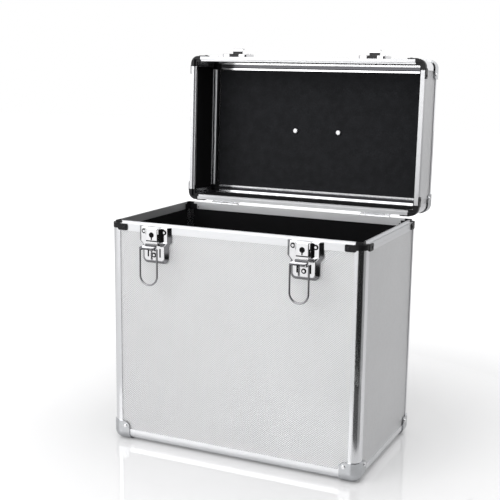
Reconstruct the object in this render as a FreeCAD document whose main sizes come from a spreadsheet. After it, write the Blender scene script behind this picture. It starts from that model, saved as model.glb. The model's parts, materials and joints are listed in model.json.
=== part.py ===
import FreeCAD, Part
import Sketcher
import math
import os
import re

# Record carrying case: a box of thin boards held in aluminium edge profiles, with a hinged lid.
# X runs to the right, Y to the back and Z up. The pieces are drawn round the middle of the box's floor with the
# lid shut. Then the lid is turned open about its hinge pins, and the whole is moved so that the origin lies on
# the floor under the middle of the open case.

# Driving sizes, in millimetres and degrees
values = {
    "caseWidth": 365, "caseDepth": 217, "bodyTop": 310, "lidHeight": 75, "partingGap": 0.3,
    "openAngle": 92.1, "originBack": 35.65,
    "edgeRadius": 11, "lip": 1.0, "board": 4.5, "innerLip": 1.3, "postFlange": 14.5, "railFlange": 15.5,
    "slotFloor": 9, "slotPlay": 0.1, "jointGap": 0.2,
    "rimFlange": 10, "rimSlot": 3, "rimInner": 8, "tongueRise": 2.8, "tongueWidth": 2, "lidBand": 4.4,
    "lidRecess": 3.3, "rimGroove": 0.4, "grooveWide": 0.7, "grooveDrop": 5,
    "capThick": 1.5, "capReach": 26, "capCorner": 8, "capRivet": 20,
    "ringDrop": 7, "ringProud": 0.8, "tabProud": 1.5, "tabStart": 12, "tabEnd": 26.5, "tabTop": 0.4,
    "tabDrop": 9.4, "tabCorner": 2, "tabScrewIn": 22, "tabScrewDrop": 5.2, "lidScrewRise": 6.3, "insideTab": 20, "insideWall": 1.2,
    "lining": 1.2, "liningPlay": 0.3, "floorPad": 2,
    "rivetHead": 2.7, "rivetRise": 1.1, "rivetShank": 1.5, "rivetTail": 2.1, "tailRise": 0.8,
    "smallHead": 2.0, "smallRise": 0.8, "smallShank": 1.1,
    "latchInset": 74.5, "latchShift": 4, "latchHalf": 20.5, "latchTop": 0.8, "latchShoulder": 20.5,
    "latchWaist": 26, "latchLowHalf": 15.7, "latchBottom": 46.3, "latchCorner": 5, "latchTopCorner": 2.5, "latchRound": 1.1, "latchRise": 4.5,
    "latchSkin": 1.2, "windowHalf": 10.2, "windowBottom": 21, "cheekWall": 1.2, "cheekTop": 1.6,
    "cheekBend": 9, "cheekBottom": 20, "cheekRise": 11, "cheekLow": 6.5, "slotOut": 9, "slotHalf": 1.1, "slotTop": 29.5, "slotBottom": 41.2,
    "latchRivetOut": 15.4, "latchRivetDrop": 7, "latchRivetLow": 38.5,
    "springHalf": 2.6, "springTop": 27.2, "springBottom": 34.5, "springRise": 0.8,
    "leverHalf": 8.6, "leverWall": 1.0, "leverTop": 1.2, "leverBottom": 19.5, "leverFront": 11.6,
    "leverBack": 3, "pivotOut": 9, "pivotDrop": 5, "pinRadius": 1.4, "runPlay": 0.05,
    "earOut": 19.4, "earDrop": 27.3, "earRadius": 2.7, "shelfThick": 1.2, "neckDrop": 21.5, "shelfOut": 15,
    "shelfDrop": 24.2, "shelfHalf": 10.4, "lipOut": 27.6, "lipDrop": 25, "lipCorner": 2.5,
    "keyRadius": 3.3, "keyDrop": 10.4, "keyTailHalf": 0.9, "keyTail": 6.2,
    "boltOut": 4, "boltThick": 1.6, "boltTop": 13, "boltBottom": 17, "boltPlay": 0.15, "boltShort": 0.1, "keyNotch": 1.6,
    "wireRadius": 1.3, "bailHalf": 12.8, "bailStub": 4.3, "bailBend": 1.5, "bailLength": 49.5,
    "strikeHalf": 20.5, "strikeBottom": 3, "strikeTop": 33, "strikeRise": 4.5, "strikeCorner": 5,
    "hookHalf": 7.6, "hookThick": 1.6, "hookFloor": 16.8, "hookOut": 13, "hookTip": 24.2, "hookWindow": 5.7, "hookRound": 1.2,
    "strikeRivetOut": 14.5, "strikeRivetUp": 26,
    "hingeInset": 62.5, "hingeWidth": 44, "hingeAxisBack": 4.7, "hingeAxisUp": 1, "knuckleRadius": 3,
    "hingePin": 1.5, "leafThick": 1.5, "leafLong": 30, "knuckleGap": 0.3, "knuckleCount": 5, "webDepth": 3,
    "webGap": 1, "heelReach": 5, "heelGap": 0.3, "hingeRivetOut": 14, "hingeRivetLow": 23,
    "pinHead": 0.8,
    "stripLeg": 11, "stripThick": 1.0, "insertLeg": 17.6, "insertThick": 1.8,
    "handleBoltSpacing": 70, "handleBase": 118, "handleBaseDeep": 24, "gripPlay": 0.3, "gripInner": 8, "domeShare": 0.8, "handlePlate": 2.6, "plateCorner": 5,
    "earThick": 6, "earDeep": 15, "pivotUp": 9.6, "stubRadius": 2.6, "stubLong": 4.5,
    "gripReach": 40, "gripBar": 13, "gripThick": 12.6, "armWidth": 8.5, "gripCorner": 14, "gripRound": 3.6, "gripHeel": 5,
    "boltHead": 4.6, "boltRise": 2.6, "boltShank": 2.4,
    "overrun": 2,
}

doc = FreeCAD.newDocument("RecordCase")
sizes = doc.addObject("Spreadsheet::Sheet", "Sizes")
for row, (alias, value) in enumerate(values.items(), 1):
    sizes.set(f"A{row}", alias)
    sizes.set(f"B{row}", str(value))
    sizes.setAlias(f"B{row}", alias)
doc.recompute()

# Places worked out from the driving sizes, written as formulas of them
wall = "(lip + board + innerLip)"
halfWide = "(caseWidth / 2)"
halfDeep = "(caseDepth / 2)"
lidTop = "(bodyTop + lidHeight)"
lidFoot = "(bodyTop + partingGap)"
lidSlot = "(lidRecess + innerLip)"
axisY = "(caseDepth / 2 + hingeAxisBack)"
axisZ = "(bodyTop + hingeAxisUp)"
word = re.compile(r"\b[a-z][A-Za-z]+\b")
nodes = {}


def bound(formula):
    """The formula with every driving size named in the sheet."""
    return word.sub(lambda found: f"Sizes.{found[0]}" if found[0] in values else found[0], str(formula))


def now(formula):
    """The formula's value in millimetres."""
    return float(sizes.evalExpression(str(formula)))


def newBody(label):
    body = doc.addObject("PartDesign::Body", label)
    body.Label = label
    return body


def originPlane(body, role):
    return next(f for f in body.Origin.OriginFeatures if f.Role == role)


def centreOf(start, end, radius, side):
    """The centre of the arc from start to end, on its left for side 1 and on its right for side -1."""
    middle = (start + end) / 2
    along = end - start
    across = FreeCAD.Vector(-along.y, along.x, 0).normalize()
    drop = math.sqrt(max(radius ** 2 - (along.Length / 2) ** 2, 0))
    return middle + across * side * drop


def sketchOn(body, role, offset, loops, closed=True):
    """A sketch of closed loops, or of one open path. A loop is a circle (x, y, radius) or a list of
    points: (x, y) starts a line to the next point, and (x, y, radius, side) starts an arc."""
    sketch = body.newObject("Sketcher::SketchObject", "Outline")
    sketch.AttachmentSupport = (originPlane(body, role), "")
    sketch.MapMode = "FlatFace"
    sketch.setExpression("AttachmentOffset.Base.z", bound(offset))
    rules = []
    formulas = []

    def pin(kind, index, place, formula):
        rules.append(Sketcher.Constraint(kind, -1, 1, index, place, now(formula)))
        formulas.append((len(rules) - 1, formula))

    for loop in loops:
        if isinstance(loop, tuple):
            x, y, radius = loop
            centre = FreeCAD.Vector(now(x), now(y), 0)
            index = sketch.addGeometry(Part.Circle(centre, FreeCAD.Vector(0, 0, 1), now(radius)))
            pin("DistanceX", index, 3, x)
            pin("DistanceY", index, 3, y)
            rules.append(Sketcher.Constraint("Radius", index, now(radius)))
            formulas.append((len(rules) - 1, radius))
            continue
        corners = [FreeCAD.Vector(now(point[0]), now(point[1]), 0) for point in loop]
        first = sketch.GeometryCount
        ends = []
        steps = list(enumerate(loop if closed else loop[:-1]))
        for number, point in steps:
            start, end = corners[number], corners[(number + 1) % len(loop)]
            if len(point) == 2:
                sketch.addGeometry(Part.LineSegment(start, end))
                ends.append((1, 2))
                continue
            radius, side = now(point[2]), point[3]
            centre = centreOf(start, end, radius, side)
            begin, finish = (start, end) if side > 0 else (end, start)
            angles = [math.atan2(corner.y - centre.y, corner.x - centre.x) for corner in (begin, finish)]
            circle = Part.Circle(centre, FreeCAD.Vector(0, 0, 1), radius)
            sketch.addGeometry(Part.ArcOfCircle(circle, *angles))
            ends.append((1, 2) if side > 0 else (2, 1))
        for number, point in steps:
            index = first + number
            pin("DistanceX", index, ends[number][0], point[0])
            pin("DistanceY", index, ends[number][0], point[1])
            following = (number + 1) % len(loop)
            if following < len(ends):
                rules.append(Sketcher.Constraint("Coincident", index, ends[number][1],
                                                 first + following, ends[following][0]))
            else:
                pin("DistanceX", index, ends[number][1], loop[following][0])
                pin("DistanceY", index, ends[number][1], loop[following][1])
            if len(point) == 4:
                rules.append(Sketcher.Constraint("Radius", index, now(point[2])))
                formulas.append((len(rules) - 1, point[2]))
    sketch.addConstraint(rules)
    for index, formula in formulas:
        sketch.setExpression(f"Constraints[{index}]", bound(formula))
    return sketch


def grown(body, kind, role, start, end, loops):
    """A pad or pocket of the loops between two heights along the plane's normal."""
    sketch = sketchOn(body, role, start, loops)
    feature = body.newObject(f"PartDesign::{kind}", kind)
    feature.Profile = (sketch, [""])
    feature.setExpression("Length", bound(f"({end}) - ({start})"))
    feature.Reversed = kind == "Pocket"
    return feature


def pad(body, role, start, end, loops):
    return grown(body, "Pad", role, start, end, loops)


def pocket(body, role, start, end, loops):
    """A cut that has to take something away."""
    doc.recompute()
    before = body.Shape.Volume
    feature = grown(body, "Pocket", role, start, end, loops)
    doc.recompute()
    if not body.Shape.Volume < before:
        raise RuntimeError(f"a cut in {body.Label} takes nothing away")
    return feature


def rounded(body, radius, wanted, kind="Fillet"):
    """A fillet or chamfer on the edges of the body that the test wants."""
    doc.recompute()
    names = [f"Edge{n}" for n, edge in enumerate(body.Shape.Edges, 1) if wanted(edge)]
    if not names:
        raise RuntimeError(f"no edge to round on {body.Label}")
    tip = body.Tip
    feature = body.newObject(f"PartDesign::{kind}", kind)
    feature.Base = (tip, names)
    feature.setExpression("Radius" if kind == "Fillet" else "Size", bound(radius))
    return feature


def keep(label, item, withLid=False):
    """Name a finished piece, move it to the shared origin, and turn it open where it belongs to the lid."""
    turn = "openAngle" if withLid else "0"
    item.setExpression("Placement", bound(
        f"placement(vector(0; 0 - originBack; 0); rotation(vector(1; 0; 0); 0 - {turn}); vector(0; {axisY}; {axisZ}))"))
    nodes[label] = item
    return item


def group(label, items, withLid=False):
    together = doc.addObject("Part::Compound", label)
    together.Label = label
    together.Links = items
    return keep(label, together, withLid)


def rectangle(x0, y0, x1, y1):
    return [(x0, y0), (x1, y0), (x1, y1), (x0, y1)]


def softRectangle(x0, y0, x1, y1, radius):
    """A rectangle, x0 < x1 and y0 < y1, with round corners."""
    r = f"({radius})"
    return [(f"{x0} + {r}", y0), (f"{x1} - {r}", y0, radius, 1), (x1, f"{y0} + {r}"),
            (x1, f"{y1} - {r}", radius, 1), (f"{x1} - {r}", y1), (f"{x0} + {r}", y1, radius, 1),
            (x0, f"{y1} - {r}"), (x0, f"{y0} + {r}", radius, 1)]


def level(edge, axis, height, long=0.0):
    """Whether the whole edge lies at one height along an axis."""
    box = edge.BoundBox
    low, high = (box.XMin, box.XMax) if axis == "X" else (box.YMin, box.YMax) if axis == "Y" else (box.ZMin, box.ZMax)
    return abs(low - height) < 1e-4 and abs(high - height) < 1e-4 and edge.Length > long


# Edge profile: a round outer corner, two flanges and a slot for each of the two boards that it joins
def profileLoop(place, side, flangeA, flangeB):
    """The profile's section. a runs inward from one face and b from the other; place turns them to x, y."""
    slotEnd = "(lip + board)"
    return [
        place("edgeRadius", "0") + ("edgeRadius", -side), place("0", "edgeRadius"),
        place("0", flangeB), place("lip", flangeB), place("lip", "slotFloor"), place(slotEnd, "slotFloor"),
        place(slotEnd, flangeB), place(wall, flangeB), place(wall, wall), place(flangeA, wall),
        place(flangeA, slotEnd), place("slotFloor", slotEnd), place("slotFloor", "lip"), place(flangeA, "lip"),
        place(flangeA, "0"),
    ]


def post(label, sx, sy, bottom, top):
    def place(a, b):
        return f"{sx} * ({halfWide} - {a})", f"{sy} * ({halfDeep} - {b})"
    body = newBody(label)
    pad(body, "XY_Plane", bottom, top, [profileLoop(place, sx * sy, "postFlange", "postFlange")])
    return body


def rail(label, alongX, sign, base, up, half):
    """A horizontal edge profile. base is the height of its outer face, up is 1 where it opens upwards."""
    def place(a, b):
        across = f"{sign} * ({halfDeep if alongX else halfWide} - {a})"
        return across, f"{base} + {up} * ({b})"
    body = newBody(label)
    side = -sign * up
    # the side plane's normal points to the front, so its lengths run backwards
    pad(body, "YZ_Plane" if alongX else "XZ_Plane", f"0 - ({half})", half,
        [profileLoop(place, side, "railFlange", "railFlange")])
    return body


cornerX = f"({halfWide} - edgeRadius)"
sideRun = f"({halfDeep} - railFlange - jointGap)"
postFoot = "(capThick + railFlange)"
postHead = "(bodyTop - rimSlot)"
for name, sx, sy in (("front_left", -1, -1), ("front_right", 1, -1), ("rear_left", -1, 1), ("rear_right", 1, 1)):
    keep(f"{name}_post", post(f"{name}_post", sx, sy, postFoot, postHead))
for name, alongX, sign in (("front", True, -1), ("rear", True, 1), ("left", False, -1), ("right", False, 1)):
    half = cornerX if alongX else sideRun
    keep(f"{name}_bottom_rail", rail(f"{name}_bottom_rail", alongX, sign, "capThick", 1, half))

lidPosts = [post(f"lidPost{sx}{sy}", sx, sy, f"{lidFoot} + {lidSlot}", f"{lidTop} - railFlange")
            for sx in (-1, 1) for sy in (-1, 1)]
group("lid_corner_posts", lidPosts, True)
lidRails = [rail(f"lidRail{alongX}{sign}", alongX, sign, lidTop, -1, cornerX if alongX else sideRun)
            for alongX in (True, False) for sign in (-1, 1)]
group("lid_edge_rails", lidRails, True)


# Places of the fasteners on each face
capSpots = [(f"{s} * ({{half}} - capRivet)", "capThick + capRivet") for s in (-1, 1)]
tabSpots = [(f"{s} * ({{half}} - tabScrewIn)", "bodyTop - tabScrewDrop") for s in (-1, 1)]
latchCentres = [f"({s} * ({halfWide} - latchInset) - latchShift)" for s in (-1, 1)]
hingeCentres = [f"({s} * ({halfWide} - hingeInset))" for s in (-1, 1)]
latchSpots = [spot for c in latchCentres for spot in (
    (f"{c} - latchRivetOut", "bodyTop - latchRivetDrop"), (f"{c} + latchRivetOut", "bodyTop - latchRivetDrop"),
    (c, "bodyTop - latchRivetLow"))]
strikeSpots = [(f"{c} + {s} * strikeRivetOut", "bodyTop + strikeRivetUp") for c in latchCentres for s in (-1, 1)]
hingeSpots = [(f"{c} + {s} * hingeRivetOut", f"{axisZ} - {drop}")
              for c in hingeCentres for s, drop in ((-1, "hingeRivetLow"), (1, "hingeRivetLow"))]
lidHingeSpots = [(x, f"2 * {axisZ} - ({z})") for x, z in hingeSpots]


def spots(pairs, half):
    return [(x.replace("{half}", half), z) for x, z in pairs]


def mirroredUp(pairs):
    """The same places on the lid, measured from its own edges."""
    swaps = (("bodyTop - tabScrewDrop", f"{lidFoot} + lidScrewRise"), ("capThick + ", f"{lidTop} - "))
    for old, new in swaps:
        pairs = [(x, z.replace(old, new)) for x, z in pairs]
    return pairs


bodyHoles = {
    "front": (spots(capSpots, halfWide), spots(tabSpots, halfWide), latchSpots),
    "rear": (spots(capSpots, halfWide), spots(tabSpots, halfWide), hingeSpots),
    "left": (spots(capSpots, halfDeep), spots(tabSpots, halfDeep), []),
    "right": (spots(capSpots, halfDeep), spots(tabSpots, halfDeep), []),
}
lidHoles = {
    "front": (mirroredUp(spots(capSpots, halfWide)), mirroredUp(spots(tabSpots, halfWide)), strikeSpots),
    "rear": (mirroredUp(spots(capSpots, halfWide)), mirroredUp(spots(tabSpots, halfWide)), lidHingeSpots),
    "left": (mirroredUp(spots(capSpots, halfDeep)), mirroredUp(spots(tabSpots, halfDeep)), []),
    "right": (mirroredUp(spots(capSpots, halfDeep)), mirroredUp(spots(tabSpots, halfDeep)), []),
}


def circlesAt(holes):
    cap, tab, plate = holes
    return ([(x, z, "rivetShank") for x, z in cap] + [(x, z, "smallShank") for x, z in tab]
            + [(x, z, "rivetShank") for x, z in plate])


# Boards of the box and of the lid
def faceSpan(face, depthFrom, depthTo):
    """Heights along the sketch plane's normal of a layer of one side wall, measured in from its face."""
    half = halfDeep if face in ("front", "rear") else halfWide
    # on the front and rear faces the sketch normal points to the front
    outward = 1 if face in ("front", "right") else -1
    ends = (f"{outward} * ({half} - {depthFrom})", f"{outward} * ({half} - {depthTo})")
    return ends[::-1] if outward > 0 else ends


def facePlane(face):
    return "XZ_Plane" if face in ("front", "rear") else "YZ_Plane"


def wallBoard(label, face, holes, low, high):
    half = halfWide if face in ("front", "rear") else halfDeep
    reach = f"({half} - slotFloor - slotPlay)"
    body = newBody(label)
    start, end = faceSpan(face, "lip", "(lip + board)")
    pad(body, facePlane(face), start, end,
        [rectangle(f"0 - {reach}", low, reach, high)] + circlesAt(holes))
    return body


boardFoot = "(capThick + slotFloor + slotPlay)"
boardHead = "(bodyTop - rimSlot - slotPlay)"
for face in ("front", "rear", "left", "right"):
    keep(f"{face}_panel", wallBoard(f"{face}_panel", face, bodyHoles[face], boardFoot, boardHead))
    keep(f"lid_{face}_panel", wallBoard(f"lid_{face}_panel", face, lidHoles[face],
                                        f"({lidFoot} + {lidSlot} + slotPlay)",
                                        f"({lidTop} - slotFloor - slotPlay)"), True)

boardX = f"({halfWide} - slotFloor - slotPlay)"
boardY = f"({halfDeep} - slotFloor - slotPlay)"
flatSpots = [(f"{sx} * ({halfWide} - capRivet)", f"{sy} * ({halfDeep} - capRivet)") for sx in (-1, 1) for sy in (-1, 1)]
flatHoles = [(x, y, "rivetShank") for x, y in flatSpots]
boltHoles = [(f"{s} * handleBoltSpacing / 2", "0", "boltShank") for s in (-1, 1)]
floorBoard = newBody("bottom_panel")
pad(floorBoard, "XY_Plane", "capThick + lip", "capThick + lip + board",
    [rectangle(f"0 - {boardX}", f"0 - {boardY}", boardX, boardY)] + flatHoles)
keep("bottom_panel", floorBoard)
roofBoard = newBody("lid_top_panel")
pad(roofBoard, "XY_Plane", f"{lidTop} - lip - board", f"{lidTop} - lip",
    [rectangle(f"0 - {boardX}", f"0 - {boardY}", boardX, boardY)] + flatHoles + boltHoles)
keep("lid_top_panel", roofBoard, True)


# Rim profiles: the box's has a tongue, the lid's a recess that the tongue enters
def bodyRimLoop(place):
    slotEnd = "(lip + board)"
    groove = "(grooveDrop + grooveWide)"
    return [place("0", "0"), place("0", "grooveDrop"), place("rimGroove", "grooveDrop"), place("rimGroove", groove),
            place("0", groove), place("0", "rimFlange"), place("lip", "rimFlange"), place("lip", "rimSlot"),
            place(slotEnd, "rimSlot"), place(slotEnd, "rimInner"), place(wall, "rimInner"),
            place(wall, "-tongueRise"), place(f"({wall} - tongueWidth)", "-tongueRise"),
            place(f"({wall} - tongueWidth)", "0")]


def lidRimLoop(place):
    slotEnd = "(lip + board)"
    groove = "(grooveDrop + grooveWide)"
    return [place("0", "0"), place("0", "grooveDrop"), place("rimGroove", "grooveDrop"), place("rimGroove", groove),
            place("0", groove), place("0", "rimFlange"), place("lip", "rimFlange"), place("lip", lidSlot),
            place(slotEnd, lidSlot), place(slotEnd, "rimInner"), place(wall, "rimInner"), place(wall, "lidRecess"),
            place("lidBand", "lidRecess"), place("lidBand", "0")]


def rim(label, face, loop, edge, up, holes):
    """A rim profile. edge is the height of its free edge, up is the way that it goes on from there."""
    alongX = face in ("front", "rear")
    sign = -1 if face in ("front", "left") else 1

    def place(depth, drop):
        return f"{sign} * ({halfDeep if alongX else halfWide} - ({depth}))", f"{edge} + {up} * ({drop})"
    half = f"({halfWide if alongX else halfDeep} - postFlange - jointGap)"
    body = newBody(label)
    pad(body, "YZ_Plane" if alongX else "XZ_Plane", f"0 - {half}", half, [loop(place)])
    circles = [(x, z, "smallShank") for x, z in holes[1]] + [(x, z, "rivetShank") for x, z in holes[2]]
    near = [c for c in circles if abs(now(c[1]) - now(edge)) < now("rimFlange")]
    start, end = faceSpan(face, "(0 - overrun)", f"({wall} + overrun)")
    pocket(body, facePlane(face), start, end, near)
    return body


for face in ("front", "rear", "left", "right"):
    keep(f"{face}_rim", rim(f"{face}_rim", face, bodyRimLoop, "bodyTop", -1, bodyHoles[face]))
lidRims = [rim(f"lidRim{face}", face, lidRimLoop, lidFoot, 1, lidHoles[face])
           for face in ("front", "rear", "left", "right")]
group("lid_rims", lidRims, True)

# Mirrored copies and corner pieces
front = FreeCAD.Vector(0, 1, 0)
sideways = FreeCAD.Vector(1, 0, 0)


def mirrored(item, normal):
    copy = doc.addObject("Part::Mirroring", item.Label + "Copy")
    copy.Source = item
    copy.Normal = normal
    return copy


def fourCorners(item):
    """The piece of the front right corner and its copies at the other three."""
    left = mirrored(item, sideways)
    return [item, left, mirrored(item, front), mirrored(left, front)]


def cornerPlace(a, b):
    """Plan place at the front right corner, measured in from the side face and from the front face."""
    return f"{halfWide} - ({a})", f"0 - {halfDeep} + ({b})"


def frontCircle(body, kind, x, z, radius, depthFrom, depthTo):
    start, end = faceSpan("front", depthFrom, depthTo)
    return (pad if kind == "pad" else pocket)(body, "XZ_Plane", start, end, [(x, z, radius)])


# Steel corner caps: three petals round a ball corner
def cap(label, face, up, holes):
    """face is the height of the profiles' outer face and up is 1 where the cap opens upwards."""
    outer = newBody(label + "Skin")
    core = newBody(label + "Core")
    for body, proud, reach in ((outer, "capThick", "capReach"), (core, "0", "(capReach + overrun)")):
        ends = [f"{face} - {up} * ({proud})", f"{face} + {up} * {reach}"]
        near = cornerPlace(f"0 - {proud}", f"0 - {proud}")
        far = cornerPlace(reach, reach)
        pad(body, "XY_Plane", *(ends if up > 0 else ends[::-1]), [rectangle(*near, *far)])
        tips = [now(near[0]), now(near[1]), now(ends[0])]
        rounded(body, f"edgeRadius + {proud}", lambda edge: sum(
            level(edge, axis, tip) for axis, tip in zip("XYZ", tips)) == 2)
    ends = [now(place) for place in (*cornerPlace("capReach", "capReach"), f"{face} + {up} * capReach")]
    rounded(outer, "capCorner", lambda edge: sum(
        level(edge, axis, tip) for axis, tip in zip("XYZ", ends)) == 2)
    height = f"{face} + {up} * capRivet"
    frontCircle(outer, "pocket", f"{halfWide} - capRivet", height, "rivetShank", "(0 - capThick)", "overrun")
    start, end = faceSpan("right", "(0 - capThick)", "overrun")
    pocket(outer, "YZ_Plane", start, end, [(f"0 - {halfDeep} + capRivet", height, "rivetShank")])
    if holes:
        pocket(outer, "XY_Plane", f"{face} - overrun", f"{face} + capThick",
               [(*cornerPlace("capRivet", "capRivet"), "rivetShank")])
    shell = doc.addObject("Part::Cut", label)
    shell.Base = outer
    shell.Tool = core
    return shell


group("bottom_corner_caps", fourCorners(cap("footCap", "capThick", 1, False)))
group("lid_corner_caps", fourCorners(cap("lidCap", lidTop, -1, True)), True)


# Black plastic corners of the two rims
def ell(near, far, reach):
    return [cornerPlace(*p) for p in ((near, near), (near, reach), (far, reach), (far, far), (reach, far), (reach, near))]


def roundEll(proud, far, reach):
    outside = f"0 - {proud}"
    return [cornerPlace("edgeRadius", outside) + (f"edgeRadius + {proud}", 1), cornerPlace(outside, "edgeRadius"),
            cornerPlace(outside, reach), cornerPlace(far, reach), cornerPlace(far, far), cornerPlace(reach, far),
            cornerPlace(reach, outside)]


def skinEll(proud, reach):
    outside = f"0 - {proud}"
    return [cornerPlace("edgeRadius", outside) + (f"edgeRadius + {proud}", 1), cornerPlace(outside, "edgeRadius"),
            cornerPlace(outside, reach), cornerPlace("0", reach), cornerPlace("0", "edgeRadius") + ("edgeRadius", -1),
            cornerPlace("edgeRadius", "0"), cornerPlace(reach, "0"), cornerPlace(reach, outside)]


def rimCorner(label, edge, up, screwDrop, layers):
    """Layers are heights from the free edge, from and to, each with its loop in plan."""
    body = newBody(label)

    def height(drop):
        return f"({edge} + {up} * ({drop}))"

    def span(low, high):
        ends = (height(low), height(high))
        return ends if up > 0 else ends[::-1]
    for low, high, loop in layers:
        pad(body, "XY_Plane", *span(low, high), [loop])
    low, high = span("tabTop", "tabDrop")
    start, end = faceSpan("front", "(0 - tabProud)", "0")
    pad(body, "XZ_Plane", start, end, [softRectangle(f"{halfWide} - tabEnd", low, f"{halfWide} - tabStart", high,
                                                     "tabCorner")])
    start, end = faceSpan("right", "(0 - tabProud)", "0")
    pad(body, "YZ_Plane", start, end, [softRectangle(f"0 - {halfDeep} + tabStart", low,
                                                     f"0 - {halfDeep} + tabEnd", high, "tabCorner")])
    screw = height(screwDrop)
    frontCircle(body, "pocket", f"{halfWide} - tabScrewIn", screw, "smallShank", "(0 - tabProud)", "overrun")
    start, end = faceSpan("right", "(0 - tabProud)", "overrun")
    pocket(body, "YZ_Plane", start, end, [(f"0 - {halfDeep} + tabScrewIn", screw, "smallShank")])
    return body


insideEll = ell(wall, f"({wall} + insideWall)", "insideTab")
bodyCorner = rimCorner("bodyRimCorner", "bodyTop", -1, "tabScrewDrop", [
    ("0", "rimSlot", roundEll("ringProud", wall, "postFlange")),
    ("rimSlot", "ringDrop", skinEll("ringProud", "postFlange")),
    ("0 - tongueRise", "0", ell(f"({wall} - tongueWidth)", wall, "postFlange")),
    ("0", "rimInner", insideEll)])
group("body_rim_corners", fourCorners(bodyCorner))
lidCorner = rimCorner("lidRimCorner", lidFoot, 1, "lidScrewRise", [
    ("0", lidSlot, roundEll("ringProud", "lidBand", "postFlange")),
    ("lidRecess", lidSlot, ell("lidBand", wall, "postFlange")),
    (lidSlot, "ringDrop", skinEll("ringProud", "postFlange")),
    ("lidRecess", "rimInner", insideEll)])
group("lid_rim_corners", fourCorners(lidCorner), True)


# Linings between the profiles, glued to the boards
def liningPanel(label, face, low, high):
    half = halfWide if face in ("front", "rear") else halfDeep
    reach = f"({half} - postFlange - liningPlay)"
    body = newBody(label)
    start, end = faceSpan(face, "(lip + board)", "(lip + board + lining)")
    pad(body, facePlane(face), start, end, [rectangle(f"0 - {reach}", low, reach, high)])
    return body


sides = ("front", "rear", "left", "right")
group("wall_linings", [liningPanel(f"wallLining{face}", face, "(capThick + railFlange + liningPlay)",
                                   "(bodyTop - rimInner - liningPlay)") for face in sides])
group("lid_wall_linings", [liningPanel(f"lidLining{face}", face, f"({lidFoot} + rimInner + liningPlay)",
                                       f"({lidTop} - railFlange - liningPlay)") for face in sides], True)
padX = f"({halfWide} - railFlange - liningPlay)"
padY = f"({halfDeep} - railFlange - liningPlay)"
floorLining = newBody("floor_lining")
pad(floorLining, "XY_Plane", "capThick + lip + board", "capThick + lip + board + floorPad",
    [rectangle(f"0 - {padX}", f"0 - {padY}", padX, padY)])
keep("floor_lining", floorLining)
roofUnder = f"({lidTop} - lip - board)"
roofLining = newBody("lid_top_lining")
pad(roofLining, "XY_Plane", f"{roofUnder} - lining", roofUnder,
    [rectangle(f"0 - {padX}", f"0 - {padY}", padX, padY)] + flatHoles + boltHoles)
keep("lid_top_lining", roofLining, True)


# Aluminium angle strips and black corner inserts inside the lid
def strip(label, face):
    alongX = face in ("front", "rear")
    sign = -1 if face in ("front", "left") else 1

    def place(depth, drop):
        return f"{sign} * ({halfDeep if alongX else halfWide} - ({depth}))", f"{lidTop} - ({drop})"
    inner = f"({wall} + stripThick)"
    outer = f"({wall} + stripLeg)"
    half = f"({halfWide if alongX else halfDeep} - insertLeg - jointGap)"
    body = newBody(label)
    pad(body, "YZ_Plane" if alongX else "XZ_Plane", f"0 - {half}", half, [
        [place(wall, wall), place(wall, outer), place(inner, outer), place(inner, inner), place(outer, inner),
         place(outer, wall)]])
    return body


group("lid_angle_strips", [strip(f"angleStrip{face}", face) for face in sides], True)
insert = newBody("innerInsert")
pad(insert, "XY_Plane", f"{lidTop} - {wall} - stripLeg", f"{lidTop} - {wall}",
    [ell(wall, f"({wall} + insertThick)", "insertLeg")])
pad(insert, "XY_Plane", f"{lidTop} - {wall} - insertThick", f"{lidTop} - {wall}",
    [rectangle(*cornerPlace(wall, wall), *cornerPlace("insertLeg", "insertLeg"))])
group("lid_corner_inserts", fourCorners(insert), True)


# Rivets and the small screws of the black corners: a domed head on what they hold and a shank to the inner face
# of the board
def rivets(label, role, outwards, seat, foot, places, head, rise, shank):
    """outwards is 1 where the plane's normal leaves the case; seat and foot are heights along the normal."""
    body = newBody(label)
    crown = f"({seat} + {outwards} * {rise})"
    ends = (seat, crown) if outwards > 0 else (crown, seat)
    pad(body, role, *ends, [(x, z, head) for x, z in places])
    top = now(crown) * (-1 if role == "XZ_Plane" else 1)
    axis = {"XZ_Plane": "Y", "YZ_Plane": "X", "XY_Plane": "Z"}[role]
    rounded(body, f"{rise} * domeShare", lambda edge: level(edge, axis, top))
    ends = (foot, seat) if outwards > 0 else (seat, foot)
    pad(body, role, *ends, [(x, z, shank) for x, z in places])
    return body


def faceRivets(label, face, proud, places, small=False):
    role = facePlane(face)
    half = halfDeep if face in ("front", "rear") else halfWide
    outwards = 1 if face in ("front", "right") else -1
    size = ("smallHead", "smallRise", "smallShank") if small else ("rivetHead", "rivetRise", "rivetShank")
    seat = f"{outwards} * ({half} + {proud})"
    foot = f"{outwards} * ({half} - lip - board)"
    return rivets(label, role, outwards, seat, foot, places, *size)


bodyRivets = []
lidRivets = []
for name, holes, items in (("body", bodyHoles, bodyRivets), ("lid", lidHoles, lidRivets)):
    items += [faceRivets(f"{name}CapRivets{face}", face, "capThick", holes[face][0]) for face in sides]
    screws = [faceRivets(f"{name}Screws{face}", face, "tabProud", holes[face][1], True) for face in sides]
    group(f"{name}_rim_screws", screws, name == "lid")
bodyRivets.append(faceRivets("latchRivets", "front", "latchRise", latchSpots))
bodyRivets.append(faceRivets("hingeRivets", "rear", "leafThick - lip", hingeSpots))
lidRivets.append(faceRivets("strikeRivets", "front", "strikeRise", strikeSpots))
lidRivets.append(faceRivets("lidHingeRivets", "rear", "leafThick - lip", lidHingeSpots))
roofRivets = rivets("roofRivets", "XY_Plane", 1, f"({lidTop} + capThick)", f"({roofUnder} - lining)", flatSpots,
                    "rivetHead", "rivetRise", "rivetShank")
pad(roofRivets, "XY_Plane", f"{roofUnder} - lining - tailRise", f"{roofUnder} - lining",
    [(x, y, "rivetTail") for x, y in flatSpots])
lidRivets.append(roofRivets)
group("body_rivets", bodyRivets)
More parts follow.
